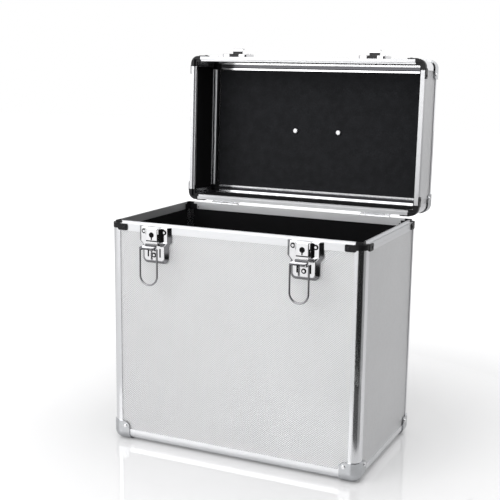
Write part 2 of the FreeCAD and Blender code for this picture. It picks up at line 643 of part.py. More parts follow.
group("lid_rivets", lidRivets, True)


# Latches on the front: a hollow base plate, a lever with a lock, and a wire bail
def out(distance):
    """Height along the front plane's normal of a place in front of the rim's face."""
    return f"({halfDeep} + {distance})"


def down(drop):
    return f"(bodyTop - {drop})"


def aside(distance, drop):
    """A place in the side plane: in front of the rim's face and below the parting line."""
    return f"0 - {halfDeep} - ({distance})", f"bodyTop - ({drop})"


def shield(c, inset):
    wide = f"(latchHalf - {inset})"
    narrow = f"(latchLowHalf - {inset})"
    low = f"(bodyTop - latchBottom + {inset})"
    high = f"(bodyTop - latchTop - {inset})"
    r = f"(latchCorner - {inset})"
    s = "latchTopCorner"
    return [(f"{c} - {narrow} + {r}", low), (f"{c} + {narrow} - {r}", low, r, 1), (f"{c} + {narrow}", f"{low} + {r}"),
            (f"{c} + {narrow}", down("latchWaist")), (f"{c} + {wide}", down("latchShoulder")),
            (f"{c} + {wide}", f"{high} - {s}", s, 1), (f"{c} + {wide} - {s}", high),
            (f"{c} - {wide} + {s}", high, s, 1), (f"{c} - {wide}", f"{high} - {s}"),
            (f"{c} - {wide}", down("latchShoulder")), (f"{c} - {narrow}", down("latchWaist")),
            (f"{c} - {narrow}", f"{low} + {r}", r, 1)]


boreRadius = "(pinRadius + runPlay)"
for name, c in zip(("left", "right"), latchCentres):
    base = newBody(f"{name}_latch_base")
    pad(base, "XZ_Plane", out("(0 - lip)"), out("latchRise"), [shield(c, "0")])
    frontLevel = -now(out("latchRise"))
    rounded(base, "latchRound", lambda edge: level(edge, "Y", frontLevel))
    pocket(base, "XZ_Plane", out("(0 - lip)"), out("latchRise - latchSkin"), [shield(c, "latchSkin")])
    pocket(base, "XZ_Plane", out("(0 - lip)"), out("0"), [rectangle(
        f"{c} - latchHalf - overrun", down("(rimFlange + slotPlay)"), f"{c} + latchHalf + overrun", down("0"))])
    pocket(base, "XZ_Plane", out("(0 - lip)"), out("latchRise"), [rectangle(
        f"{c} - windowHalf", down("windowBottom"), f"{c} + windowHalf", down("0"))])
    cheek = [aside("0", "cheekTop"), aside("cheekRise", "cheekTop"), aside("cheekRise", "cheekBend"),
             aside("cheekLow", "(cheekBend + cheekRise - cheekLow)"), aside("cheekLow", "cheekBottom"),
             aside("0", "cheekBottom")]
    for sign in (-1, 1):
        ends = sorted((f"{c} + {sign} * windowHalf", f"{c} + {sign} * (windowHalf - cheekWall)"), key=now)
        pad(base, "YZ_Plane", *ends, [cheek])
    pocket(base, "YZ_Plane", f"{c} - windowHalf", f"{c} + windowHalf", [(*aside("pivotOut", "pivotDrop"), boreRadius)])
    pocket(base, "YZ_Plane", f"{c} + windowHalf - cheekWall", f"{c} + windowHalf", [rectangle(
        *aside("boltOut - boltPlay", "boltBottom + boltPlay"),
        *aside("boltOut + boltThick + boltPlay", "boltTop - boltPlay"))])
    pocket(base, "XZ_Plane", out("(latchRise - latchSkin)"), out("latchRise"), [
        rectangle(f"{c} + {s} * slotOut - slotHalf", down("slotBottom"), f"{c} + {s} * slotOut + slotHalf",
                  down("slotTop")) for s in (-1, 1)])
    pocket(base, "XZ_Plane", out("(latchRise - latchSkin)"), out("latchRise"),
           [(x, z, "rivetShank") for x, z in latchSpots if abs(now(x) - now(c)) < now("latchHalf")])
    pad(base, "XZ_Plane", out("latchRise"), out("latchRise + springRise"), [softRectangle(
        f"{c} - springHalf", down("springBottom"), f"{c} + springHalf", down("springTop"), "latchRound")])
    keep(f"{name}_latch_base", base)

    lever = newBody(f"{name}_latch_lever")
    pad(lever, "XZ_Plane", out("leverBack"), out("leverFront"), [rectangle(
        f"{c} - leverHalf", down("leverBottom"), f"{c} + leverHalf", down("leverTop"))])
    leverFace = -now(out("leverFront"))
    rounded(lever, "leverWall", lambda edge: level(edge, "Y", leverFace))
    pocket(lever, "XZ_Plane", out("leverBack"), out("leverFront - leverWall"), [rectangle(
        f"{c} - leverHalf + leverWall", down("(leverBottom - leverWall)"), f"{c} + leverHalf - leverWall",
        down("(leverTop + leverWall)"))])
    # a shelf turned out under the lock plate, with two ears that hold the bail
    shelf = [aside("shelfOut", "shelfDrop"), aside("lipOut", "lipDrop"), aside("lipOut", "lipDrop + shelfThick"),
             aside("shelfOut", "shelfDrop + shelfThick")]
    neck = "leverFront - shelfThick"
    pad(lever, "YZ_Plane", f"{c} - shelfHalf", f"{c} + shelfHalf", [shelf])
    tip = -now(out("lipOut"))
    rounded(lever, "lipCorner", lambda edge: level(edge, "Y", tip) and edge.BoundBox.XLength < now("lipCorner"))
    pad(lever, "YZ_Plane", f"{c} - leverHalf", f"{c} + leverHalf", [[
        aside(neck, "leverBottom - leverWall"), aside("leverFront", "leverBottom - leverWall"),
        aside("leverFront", "neckDrop"), shelf[0], shelf[3], aside(neck, "neckDrop + shelfThick / 2")]])
    ear = aside("earOut", "earDrop")
    for sign in (-1, 1):
        ends = sorted((f"{c} + {sign} * shelfHalf", f"{c} + {sign} * (shelfHalf - leverWall)"), key=now)
        pad(lever, "YZ_Plane", *ends, [rectangle(*aside("earOut - earRadius", "shelfDrop + shelfThick / 2"),
                                                 *aside("earOut + earRadius", "earDrop"))])
        pad(lever, "YZ_Plane", *ends, [(*ear, "earRadius")])
    pocket(lever, "YZ_Plane", f"{c} - shelfHalf", f"{c} + shelfHalf", [(*ear, "wireRadius + runPlay")])
    pocket(lever, "YZ_Plane", f"{c} - leverHalf", f"{c} + leverHalf", [(*aside("pivotOut", "pivotDrop"), boreRadius)])
    pocket(lever, "YZ_Plane", f"{c} - leverHalf", f"{c} + leverHalf", [rectangle(
        *aside("boltOut - boltPlay", "boltBottom + boltPlay"),
        *aside("boltOut + boltThick + boltPlay", "boltTop - boltPlay"))])
    pocket(lever, "XZ_Plane", out("(leverFront - leverWall)"), out("leverFront"), [(c, down("keyDrop"), "keyRadius")])
    pocket(lever, "XZ_Plane", out("(leverFront - leverWall)"), out("leverFront"), [rectangle(
        f"{c} - keyTailHalf", down("(keyDrop + keyTail)"), f"{c} + keyTailHalf", down("keyDrop"))])
    keep(f"{name}_latch_lever", lever)

    pin = newBody(f"{name}_lever_pin")
    pad(pin, "YZ_Plane", f"{c} - windowHalf", f"{c} + windowHalf", [(*aside("pivotOut", "pivotDrop"), "pinRadius")])
    keep(f"{name}_lever_pin", pin)

    bolt = newBody(f"{name}_lock_bolt")
    pad(bolt, "XZ_Plane", out("boltOut"), out("(boltOut + boltThick)"), [
        [(f"{c} - leverHalf + boltShort", down("boltBottom")), (f"{c} - keyNotch", down("boltBottom")),
         (f"{c} - keyNotch", down("(boltBottom - keyNotch)")), (f"{c} + keyNotch", down("(boltBottom - keyNotch)")),
         (f"{c} + keyNotch", down("boltBottom")), (f"{c} + leverHalf - boltShort", down("boltBottom")),
         (f"{c} + leverHalf - boltShort", down("boltTop")), (f"{c} - leverHalf + boltShort", down("boltTop"))]])
    keep(f"{name}_lock_bolt", bolt)

    bail = newBody(f"{name}_bail")
    top = down("earDrop")
    turn = "(bodyTop - earDrop - bailLength + bailHalf)"
    spine = sketchOn(bail, "XZ_Plane", out("earOut"), [[
        (f"{c} - bailHalf + bailStub", top), (f"{c} - bailHalf + bailBend", top, "bailBend", 1),
        (f"{c} - bailHalf", f"{top} - bailBend"), (f"{c} - bailHalf", turn, "bailHalf", 1),
        (c, f"{turn} - bailHalf", "bailHalf", 1), (f"{c} + bailHalf", turn),
        (f"{c} + bailHalf", f"{top} - bailBend", "bailBend", 1), (f"{c} + bailHalf - bailBend", top),
        (f"{c} + bailHalf - bailStub", top)]], closed=False)
    section = sketchOn(bail, "YZ_Plane", f"{c} - bailHalf + bailStub", [(*ear, "wireRadius")])
    wire = bail.newObject("PartDesign::AdditivePipe", "Wire")
    wire.Profile = (section, [""])
    wire.Spine = (spine, [f"Edge{n + 1}" for n in range(spine.GeometryCount)])
    keep(f"{name}_bail", bail)

    strike = newBody(f"{name}_strike")

    def up(height):
        return f"(bodyTop + {height})"
    pad(strike, "XZ_Plane", out("(0 - lip)"), out("strikeRise"), [softRectangle(
        f"{c} - strikeHalf", up("strikeBottom"), f"{c} + strikeHalf", up("strikeTop"), "strikeCorner")])
    strikeLevel = -now(out("strikeRise"))
    rounded(strike, "latchRound", lambda edge: level(edge, "Y", strikeLevel))
    pocket(strike, "XZ_Plane", out("(0 - lip)"), out("strikeRise - latchSkin"), [softRectangle(
        f"{c} - strikeHalf + latchSkin", up("strikeBottom + latchSkin"), f"{c} + strikeHalf - latchSkin",
        up("strikeTop - latchSkin"), "(strikeCorner - latchSkin)")])
    pocket(strike, "XZ_Plane", out("(0 - lip)"), out("0"), [rectangle(
        f"{c} - strikeHalf - overrun", up("0"), f"{c} + strikeHalf + overrun",
        f"{lidFoot} + rimFlange + slotPlay")])
    pocket(strike, "XZ_Plane", out("(strikeRise - latchSkin)"), out("strikeRise"), [rectangle(
        f"{c} - hookHalf", up("hookWindow"), f"{c} + hookHalf", up("(hookFloor - hookThick)"))])
    pocket(strike, "XZ_Plane", out("(strikeRise - latchSkin)"), out("strikeRise"),
           [(x, z, "rivetShank") for x, z in strikeSpots if abs(now(x) - now(c)) < now("strikeHalf")])
    pad(strike, "YZ_Plane", f"{c} - hookHalf", f"{c} + hookHalf", [[
        aside("strikeRise - latchSkin", "0 - hookFloor + hookThick"), aside("hookOut", "0 - hookFloor + hookThick"),
        aside("hookOut", "0 - hookTip"), aside("hookOut - hookThick", "0 - hookTip"),
        aside("hookOut - hookThick", "0 - hookFloor"), aside("strikeRise - latchSkin", "0 - hookFloor")]])
    hookY, hookZ = -now(out("hookOut")), now(up("(hookFloor - hookThick)"))
    rounded(strike, "hookRound", lambda edge: level(edge, "Y", hookY) and level(edge, "Z", hookZ))
    keep(f"{name}_strike", strike, True)


# Hinges on the back: interleaved knuckles on one pin, and a heel that stops the lid
def hingeLeaf(label, c, up, flangeEnd, first):
    """up is -1 for the leaf on the box and 1 for the lid's; first is its first knuckle."""
    def place(back, rise):
        return f"{halfDeep} + ({back})", f"{axisZ} + {up} * ({rise})"
    step = f"(({flangeEnd} - {axisZ}) * {up} + slotPlay)"
    sunk = "(leafThick - lip)"
    body = newBody(label)
    pad(body, "YZ_Plane", f"{c} - hingeWidth / 2", f"{c} + hingeWidth / 2", [[
        place("0", "webGap"), place("leafThick", "webGap"), place("leafThick", step),
        place(sunk, f"{step} + lip"), place(sunk, "leafLong"), place("0 - lip", "leafLong"),
        place("0 - lip", step), place("0", step)]])
    length = "(hingeWidth / knuckleCount)"
    bore = "(hingePin + runPlay)"
    for number in range(first, int(now("knuckleCount")), 2):
        start = f"({c} - hingeWidth / 2 + {number} * {length})"
        ends = (f"{start} + knuckleGap / 2", f"{start} + {length} - knuckleGap / 2")
        pad(body, "YZ_Plane", *ends, [rectangle(*place("0", "webGap"), *place("hingeAxisBack", "webDepth"))])
        pad(body, "YZ_Plane", *ends, [(axisY, axisZ, "knuckleRadius")])
        if up < 0 and number == int(now("knuckleCount")) // 2:
            pad(body, "YZ_Plane", *ends, [rectangle(
                *place("hingeAxisBack", "webDepth"),
                f"{axisY} + heelReach", f"{axisZ} + hingeAxisBack - leafThick - 2 * heelGap")])
    pocket(body, "YZ_Plane", f"{c} - hingeWidth / 2", f"{c} + hingeWidth / 2", [(axisY, axisZ, bore)])
    holes = hingeSpots if up < 0 else lidHingeSpots
    start, end = faceSpan("rear", "(0 - leafThick)", "lip")
    pocket(body, "XZ_Plane", start, end,
           [(x, z, "rivetShank") for x, z in holes if abs(now(x) - now(c)) < now("hingeWidth / 2")])
    return body


for name, c in zip(("left", "right"), hingeCentres):
    keep(f"{name}_hinge_leaf", hingeLeaf(f"{name}_hinge_leaf", c, -1, "(bodyTop - rimFlange)", 0))
    keep(f"{name}_lid_hinge_leaf", hingeLeaf(f"{name}_lid_hinge_leaf", c, 1, f"({lidFoot} + rimFlange)", 1), True)
    pin = newBody(f"{name}_hinge_pin")
    pad(pin, "YZ_Plane", f"{c} - hingeWidth / 2 - pinHead", f"{c} + hingeWidth / 2 + pinHead",
        [(axisY, axisZ, "hingePin")])
    for sign in (-1, 1):
        ends = sorted((f"{c} + {sign} * hingeWidth / 2", f"{c} + {sign} * (hingeWidth / 2 + pinHead)"), key=now)
        pad(pin, "YZ_Plane", *ends, [(axisY, axisZ, "rivetTail")])
    keep(f"{name}_hinge_pin", pin)


# Carrying handle on the lid: a bolted base with two ears and a swinging grip
panelTop = f"({lidTop} - lip)"
pivotZ = f"({panelTop} + pivotUp)"
handleBase = newBody("handle_base")
pad(handleBase, "XY_Plane", panelTop, f"{panelTop} + handlePlate", [softRectangle(
    "0 - handleBase / 2", "0 - handleBaseDeep / 2", "handleBase / 2", "handleBaseDeep / 2", "plateCorner")] + boltHoles)
ear = "(earDeep / 2)"
earLoop = [(f"0 - {ear}", panelTop), (ear, panelTop), (ear, pivotZ, ear, 1), ("0", f"{pivotZ} + {ear}", ear, 1),
           (f"0 - {ear}", pivotZ)]
for ends in (("0 - handleBase / 2", "earThick - handleBase / 2"), ("handleBase / 2 - earThick", "handleBase / 2")):
    pad(handleBase, "YZ_Plane", *ends, [earLoop])
pocket(handleBase, "YZ_Plane", "0 - handleBase / 2", "handleBase / 2", [("0", pivotZ, "stubRadius + runPlay")])
keep("handle_base", handleBase, True)

grip = newBody("handle_grip")
gx = "(handleBase / 2 - earThick - gripPlay)"
ix = f"({gx} - armWidth)"
heel = "(gripThick / 2)"
pad(grip, "XY_Plane", f"{pivotZ} - gripThick / 2", f"{pivotZ} + gripThick / 2", [[
    (f"0 - {ix}", f"0 - {heel}"), (f"0 - {ix}", "gripReach - gripBar - gripInner", "gripInner", -1),
    (f"0 - {ix} + gripInner", "gripReach - gripBar"), (f"{ix} - gripInner", "gripReach - gripBar", "gripInner", -1),
    (ix, "gripReach - gripBar - gripInner"), (ix, f"0 - {heel}"), (gx, f"0 - {heel}"),
    (gx, "gripReach - gripCorner", "gripCorner", 1), (f"{gx} - gripCorner", "gripReach"),
    (f"0 - {gx} + gripCorner", "gripReach", "gripCorner", 1), (f"0 - {gx}", "gripReach - gripCorner"),
    (f"0 - {gx}", f"0 - {heel}")]])
gripHeel = -now(heel)
rounded(grip, "gripHeel", lambda edge: level(edge, "Y", gripHeel) and edge.BoundBox.XLength > 1)
gripLevels = [now(f"{pivotZ} - gripThick / 2"), now(f"{pivotZ} + gripThick / 2")]
rounded(grip, "gripRound", lambda edge: any(level(edge, "Z", z) for z in gripLevels)
        and edge.BoundBox.YMax > now("gripReach - gripBar - gripInner") - 0.01)
for ends in ((f"0 - {gx} - stubLong", f"0 - {gx}"), (gx, f"{gx} + stubLong")):
    pad(grip, "YZ_Plane", *ends, [("0", pivotZ, "stubRadius")])
keep("handle_grip", grip, True)

bolts = rivets("handle_bolts", "XY_Plane", -1, f"({roofUnder} - lining)", f"({panelTop} + handlePlate)",
               [(x, y) for x, y, r in boltHoles], "boltHead", "boltRise", "boltShank")
keep("handle_bolts", bolts, True)

doc.recompute()


def faulty():
    return [item.Label for item in doc.Objects if "Invalid" in item.State or "Error" in item.State]


if faulty():
    raise RuntimeError(f"these objects did not recompute: {faulty()}")
os.makedirs("parts", exist_ok=True)
for label, item in nodes.items():
    shape = item.Shape
    if shape.isNull() or not shape.isValid():
        raise RuntimeError(f"{label} is not a sound solid")
    shape.exportStep(f"parts/{label}.step")
    print(label, len(shape.Solids), round(shape.Volume / 1000, 2), shape.BoundBox)
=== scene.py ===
import json
import math
import bmesh
import bpy
from mathutils import Matrix, Vector


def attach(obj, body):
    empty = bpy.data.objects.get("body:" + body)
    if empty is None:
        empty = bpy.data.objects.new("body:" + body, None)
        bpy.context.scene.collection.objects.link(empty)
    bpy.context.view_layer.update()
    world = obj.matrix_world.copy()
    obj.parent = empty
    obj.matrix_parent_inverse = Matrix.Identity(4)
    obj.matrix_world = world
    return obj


# Record carrying case: finishes for its metal, boards and linings, and the small fittings on them.
# Lengths are in metres, in the frame's own axes: X right, Y back to the hinges, Z up.
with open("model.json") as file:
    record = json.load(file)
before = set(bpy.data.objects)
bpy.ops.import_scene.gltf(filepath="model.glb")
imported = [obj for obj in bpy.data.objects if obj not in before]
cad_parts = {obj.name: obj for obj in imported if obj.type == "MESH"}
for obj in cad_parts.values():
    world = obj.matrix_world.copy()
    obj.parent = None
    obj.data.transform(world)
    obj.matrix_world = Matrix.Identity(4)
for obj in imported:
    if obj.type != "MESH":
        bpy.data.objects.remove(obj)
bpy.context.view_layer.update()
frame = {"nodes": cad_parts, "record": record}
nodes = frame["nodes"]
print("frame loaded:", len(nodes), "nodes")

# View of the photograph: angles in degrees turned left, tilted down and rolled, lens in millimetres
view = {
    "place": (0.566177, -1.289005, 0.535076),
    "yaw": 25.2024, "pitch": 10.9398, "roll": 0.6691,
    "lens": 72.498, "sensor": 36.0,
}


def makeCamera():
    yaw, pitch, roll = (math.radians(view[key]) for key in ("yaw", "pitch", "roll"))
    ahead = Vector((-math.sin(yaw) * math.cos(pitch), math.cos(yaw) * math.cos(pitch), -math.sin(pitch)))
    level = Vector((math.cos(yaw), math.sin(yaw), 0))
    above = level.cross(ahead)
    right = level * math.cos(roll) + above * math.sin(roll)
    up = above * math.cos(roll) - level * math.sin(roll)
    data = bpy.data.cameras.new("camera")
    data.lens = view["lens"]
    data.sensor_width = view["sensor"]
    camera = bpy.data.objects.new("camera", data)
    bpy.context.scene.collection.objects.link(camera)
    turn = Matrix((right, up, -ahead)).transposed().to_4x4()
    camera.matrix_world = Matrix.Translation(view["place"]) @ turn
    bpy.context.scene.camera = camera


makeCamera()


# Materials
def newMaterial(name, colour, roughness, metallic=0.0):
    material = bpy.data.materials.new(name)
    material.use_nodes = True
    shader = material.node_tree.nodes["Principled BSDF"]
    shader.inputs["Base Color"].default_value = (*colour, 1)
    shader.inputs["Roughness"].default_value = roughness
    shader.inputs["Metallic"].default_value = metallic
    return material, material.node_tree, shader


# A node with its settings and its sockets, each a value or another node's socket
def addNode(tree, kind, settings=None, **inputs):
    node = tree.nodes.new(kind)
    for key, value in (settings or {}).items():
        setattr(node, key, value)
    for key, value in inputs.items():
        socket = node.inputs[int(key[1:])] if key[0] == "i" and key[1:].isdigit() else node.inputs[key]
        if isinstance(value, bpy.types.NodeSocket):
            tree.links.new(value, socket)
        else:
            socket.default_value = value
    return node


def math2(tree, operation, a, b=0.0):
    return addNode(tree, "ShaderNodeMath", {"operation": operation}, i0=a, i1=b).outputs[0]


# Object coordinates stretched by a scale along each axis
def coordinates(tree, scale):
    place = addNode(tree, "ShaderNodeTexCoord").outputs["Object"]
    return addNode(tree, "ShaderNodeMapping", Vector=place, Scale=scale).outputs[0]


# The same coordinates one by one
def axes(tree, scale=(1, 1, 1)):
    return addNode(tree, "ShaderNodeSeparateXYZ", Vector=coordinates(tree, scale)).outputs


# Cloudy noise with spots of about the given size, longer along an axis whose stretch is over 1
def noise(tree, size, detail=3.0, stretch=(1, 1, 1)):
    place = coordinates(tree, tuple(1 / (size * part) for part in stretch))
    return addNode(tree, "ShaderNodeTexNoise", Vector=place, Scale=1.0, Detail=detail).outputs["Fac"]


def remap(tree, value, low, high, toLow, toHigh):
    return addNode(tree, "ShaderNodeMapRange", Value=value, **{
        "From Min": low, "From Max": high, "To Min": toLow, "To Max": toHigh}).outputs[0]


def blendColours(tree, shader, factor, first, second):
    mix = addNode(tree, "ShaderNodeMix", {"data_type": "RGBA"}, Factor=factor)
    mix.inputs["A"].default_value = (*first, 1)
    mix.inputs["B"].default_value = (*second, 1)
    tree.links.new(mix.outputs["Result"], shader.inputs["Base Color"])


def roughen(tree, shader, value, span, smooth, rough):
    tree.links.new(remap(tree, value, *span, smooth, rough), shader.inputs["Roughness"])


def bump(tree, shader, height, distance):
    relief = addNode(tree, "ShaderNodeBump", Height=height, Distance=distance, Strength=1.0)
    tree.links.new(relief.outputs[0], shader.inputs["Normal"])


# Two spans of a noise's values; beyond a span's ends a remapped value stays level
usual = (0.3, 0.7)
upper = (0.35, 0.75)

board = {
    "across": 0.0033, "along": 0.00285, "relief": 0.00026, "main": 0.68, "cross": 0.32,
    "colour": (0.74, 0.742, 0.75), "pit": (0.52, 0.522, 0.53), "pitSpan": (-0.8, 0.7),
    "wear": 0.08, "wearSize": 0.05, "wearSpan": (0.35, 0.7),
    "roughness": 0.33, "smoother": 0.05, "rougher": 0.07, "patch": 0.004, "metallic": 0.62,
}


# Silver laminate embossed with slanting rows of small pits, the pits coloured darker as painted shade; the
# two axes lie in the board
def boardFinish(name, across, along):
    material, tree, shader = newMaterial(name, board["colour"], board["roughness"], board["metallic"])
    scale = [0.0, 0.0, 0.0]
    scale[across] = 2 * math.pi / board["across"]
    scale[along] = 2 * math.pi / board["along"]
    parts = axes(tree, scale)
    rows = math2(tree, "COSINE", math2(tree, "SUBTRACT", parts[across], parts[along]))
    cross = math2(tree, "COSINE", math2(tree, "ADD", parts[across], parts[along]))
    height = math2(tree, "ADD", math2(tree, "MULTIPLY", rows, board["main"]),
                   math2(tree, "MULTIPLY", cross, board["cross"]))
    # Painted shade in the pits: the colour darkens where the embossed height is low; random wear blends
    # towards the same darker colour
    pit = remap(tree, height, *board["pitSpan"], 1.0, 0.0)
    wear = remap(tree, noise(tree, board["wearSize"]), *board["wearSpan"], 0.0, board["wear"])
    blendColours(tree, shader, math2(tree, "ADD", pit, wear), board["colour"], board["pit"])
    roughen(tree, shader, noise(tree, board["patch"]), usual,
            board["roughness"] - board["smoother"], board["roughness"] + board["rougher"])
    bump(tree, shader, height, board["relief"])
    return material


# Drawing lines of a profile are this many times as long as they are wide
drawn = 40
profile = {
    "colour": (0.80, 0.805, 0.82), "dull": (0.70, 0.71, 0.725), "dullShare": 0.35,
    "cloudSize": 0.03, "cloudSpan": (0.3, 0.75), "line": 0.0006, "lineDetail": 2.0, "relief": 0.00001,
    "roughness": 0.16, "smoother": 0.06, "rougher": 0.07,
}


# Extruded aluminium with faint drawing lines along the profile
def profileFinish(name, stretch):
    material, tree, shader = newMaterial(name, profile["colour"], profile["roughness"], 1.0)
    lines = noise(tree, profile["line"], profile["lineDetail"], stretch)
    roughen(tree, shader, lines, usual,
            profile["roughness"] - profile["smoother"], profile["roughness"] + profile["rougher"])
    clouds = remap(tree, noise(tree, profile["cloudSize"]), *profile["cloudSpan"], 0.0, profile["dullShare"])
    blendColours(tree, shader, clouds, profile["colour"], profile["dull"])
    bump(tree, shader, lines, profile["relief"])
    return material


# The lid stands open at rest, so its strips are measured in the shut lid: turned back about the hinges' axis
lidStrip = {
    "axisY": 0.07755, "axisZ": 0.311, "open": 92.1,
    "middleY": -0.03565, "halfX": 0.1757, "halfY": 0.1017, "top": 0.3782,
    "from": 0.0030, "to": 0.0080, "soft": 0.0006, "relief": 0.0003,
    "bright": (0.80, 0.805, 0.82), "dark": (0.06, 0.06, 0.065),
}


# Aluminium channel round the lid's inside, bright on both rims, with painted shade in the groove between
def stripFinish(name):
    material, tree, shader = newMaterial(name, lidStrip["bright"], profile["roughness"], 1.0)
    parts = axes(tree)
    turn = math.radians(lidStrip["open"])
    back = math2(tree, "SUBTRACT", parts["Y"], lidStrip["axisY"])
    rise = math2(tree, "SUBTRACT", parts["Z"], lidStrip["axisZ"])
    shutY = math2(tree, "SUBTRACT", math2(tree, "MULTIPLY", back, math.cos(turn)),
                  math2(tree, "MULTIPLY", rise, math.sin(turn)))
    shutZ = math2(tree, "ADD", math2(tree, "MULTIPLY", back, math.sin(turn)),
                  math2(tree, "MULTIPLY", rise, math.cos(turn)))
    fromMiddle = math2(tree, "ABSOLUTE", math2(tree, "ADD", shutY, lidStrip["axisY"] - lidStrip["middleY"]))
    sideGap = math2(tree, "SUBTRACT", lidStrip["halfX"], math2(tree, "ABSOLUTE", parts["X"]))
    deepGap = math2(tree, "SUBTRACT", lidStrip["halfY"], fromMiddle)
    topGap = math2(tree, "SUBTRACT", lidStrip["top"] - lidStrip["axisZ"], shutZ)
    inward = math2(tree, "MAXIMUM", math2(tree, "MINIMUM", sideGap, deepGap), topGap)
    soft = lidStrip["soft"]
    rising = remap(tree, inward, lidStrip["from"] - soft, lidStrip["from"] + soft, 0.0, 1.0)
    falling = remap(tree, inward, lidStrip["to"] - soft, lidStrip["to"] + soft, 1.0, 0.0)
    grooveAndShade = math2(tree, "MULTIPLY", rising, falling)
    # Painted shade: the groove is coloured dark; the bump below sinks it
    blendColours(tree, shader, grooveAndShade, lidStrip["bright"], lidStrip["dark"])
    bump(tree, shader, math2(tree, "MULTIPLY", grooveAndShade, -1.0), lidStrip["relief"])
    return material


satin = {"colour": (0.74, 0.745, 0.76), "metallic": 0.72, "roughness": 0.34, "smooth": 0.28, "rough": 0.40}


# Satin rim profile: duller than the others, with the same drawing lines; a shade below 1 darkens a copy as
# painted shade
def satinFinish(name, stretch, shade=1.0):
    colour = tuple(part * shade for part in satin["colour"])
    material, tree, shader = newMaterial(name, colour, satin["roughness"], satin["metallic"])
    lines = noise(tree, profile["line"], profile["lineDetail"], stretch)
    roughen(tree, shader, lines, usual, satin["smooth"], satin["rough"])
    bump(tree, shader, lines, profile["relief"])
    return material


plateMarks = {"size": 0.001, "detail": 4.0, "relief": 0.000006}


# Small marks of handling on a bright plate
def markPlate(tree, shader, smooth, rough):
    marks = noise(tree, plateMarks["size"], plateMarks["detail"])
    roughen(tree, shader, marks, upper, smooth, rough)
    bump(tree, shader, marks, plateMarks["relief"])


lever = {
    "bright": (0.90, 0.90, 0.91), "dark": (0.20, 0.20, 0.21), "edge": -0.1562, "soft": 0.0008,
    "roughness": 0.08, "smooth": 0.06, "rough": 0.12,
}


# Lock lever: a bright lock plate, with painted shade from the edge forward, where the shelf is
def leverFinish(name):
    material, tree, shader = newMaterial(name, lever["bright"], lever["roughness"], 1.0)
    # Painted shade on the shelf: a darker colour from the edge forward
    shelfShade = remap(tree, axes(tree)["Y"], lever["edge"], lever["edge"] - lever["soft"], 0.0, 1.0)
    blendColours(tree, shader, shelfShade, lever["bright"], lever["dark"])
    markPlate(tree, shader, lever["smooth"], lever["rough"])
    return material


# The two strikes lie at the same distance from a middle, left and right of it
strike = {
    # The plate's colour, darker than the latch's nickel, is partly painted shade
    "bright": (0.66, 0.66, 0.67), "dark": (0.02, 0.02, 0.02), "middle": -0.004, "distance": 0.108,
    "rootHalf": (0.0078, 0.0084), "rootTop": (0.5405, 0.5415),
    "roughness": 0.10, "smooth": 0.07, "rough": 0.14,
}


# Strike: a bright plate and hook, with painted shade at the hook's root
def strikeFinish(name):
    material, tree, shader = newMaterial(name, strike["bright"], strike["roughness"], 1.0)
    parts = axes(tree)
    fromMiddle = math2(tree, "ABSOLUTE", math2(tree, "SUBTRACT", parts["X"], strike["middle"]))
    fromCentre = math2(tree, "ABSOLUTE", math2(tree, "SUBTRACT", fromMiddle, strike["distance"]))
    # Painted shade: dark at the hook's root
    rootShade = math2(tree, "MULTIPLY", remap(tree, fromCentre, *strike["rootHalf"], 1.0, 0.0),
                 remap(tree, parts["Z"], *strike["rootTop"], 1.0, 0.0))
    blendColours(tree, shader, rootShade, strike["bright"], strike["dark"])
    markPlate(tree, shader, strike["smooth"], strike["rough"])
    return material


steel = {
    "dull": 0.82, "dullShare": 0.5, "marksPerSpot": 8, "markDetail": 4.0, "markStretch": (3, 1, 1),
    "smooth": 0.8, "rough": 1.45,
}


# Plated sheet steel, with clouding and small handling marks
def pressedSteel(name, colour, roughness, spots, relief):
    material, tree, shader = newMaterial(name, colour, roughness, 1.0)
    clouds = remap(tree, noise(tree, spots), *usual, 0.0, steel["dullShare"])
    blendColours(tree, shader, clouds, colour, tuple(part * steel["dull"] for part in colour))
    marks = noise(tree, spots / steel["marksPerSpot"], steel["markDetail"], steel["markStretch"])
    roughen(tree, shader, marks, upper, roughness * steel["smooth"], roughness * steel["rough"])
    bump(tree, shader, marks, relief)
    return material


plastic = {
    "grainDetail": 4.0, "smoother": 0.08, "rougher": 0.1,
    "rubSize": 0.008, "rubDetail": 5.0, "rubSpan": (0.58, 0.8), "rubShare": 0.5, "paler": 2.4, "lift": 0.01,
}


# Black moulded plastic with a fine eroded grain and paler rubbed spots
def mouldedPlastic(name, colour, roughness, grain, relief, gloss=0.5):
    material, tree, shader = newMaterial(name, colour, roughness)
    shader.inputs["Specular IOR Level"].default_value = gloss
    grains = noise(tree, grain, plastic["grainDetail"])
    rubbed = remap(tree, noise(tree, plastic["rubSize"], plastic["rubDetail"]), *plastic["rubSpan"],
                   0.0, plastic["rubShare"])
    pale = tuple(part * plastic["paler"] + plastic["lift"] for part in colour)
    blendColours(tree, shader, rubbed, colour, pale)
    roughen(tree, shader, grains, usual, roughness - plastic["smoother"], roughness + plastic["rougher"])
    bump(tree, shader, grains, relief)
    return material


cloth = {
    "roughness": 0.95, "gloss": 0.2, "sheenRoughness": 0.6,
    "fibre": 0.0011, "fibreDetail": 6.0, "fibreLow": 0.3, "patch": 0.012, "patchDetail": 4.0, "patchLow": 0.5,
}


# Needled felt: short mottled fibres and a soft sheen
def feltFinish(name, colour, pale, sheen, relief):
    material, tree, shader = newMaterial(name, colour, cloth["roughness"])
    shader.inputs["Sheen Weight"].default_value = sheen
    shader.inputs["Specular IOR Level"].default_value = cloth["gloss"]
    shader.inputs["Sheen Roughness"].default_value = cloth["sheenRoughness"]
    fibres = noise(tree, cloth["fibre"], cloth["fibreDetail"])
    patches = noise(tree, cloth["patch"], cloth["patchDetail"])
    mottle = math2(tree, "MULTIPLY", remap(tree, fibres, *usual, cloth["fibreLow"], 1.0),
                   remap(tree, patches, *usual, cloth["patchLow"], 1.0))
    blendColours(tree, shader, mottle, colour, pale)
    bump(tree, shader, fibres, relief)
    return material


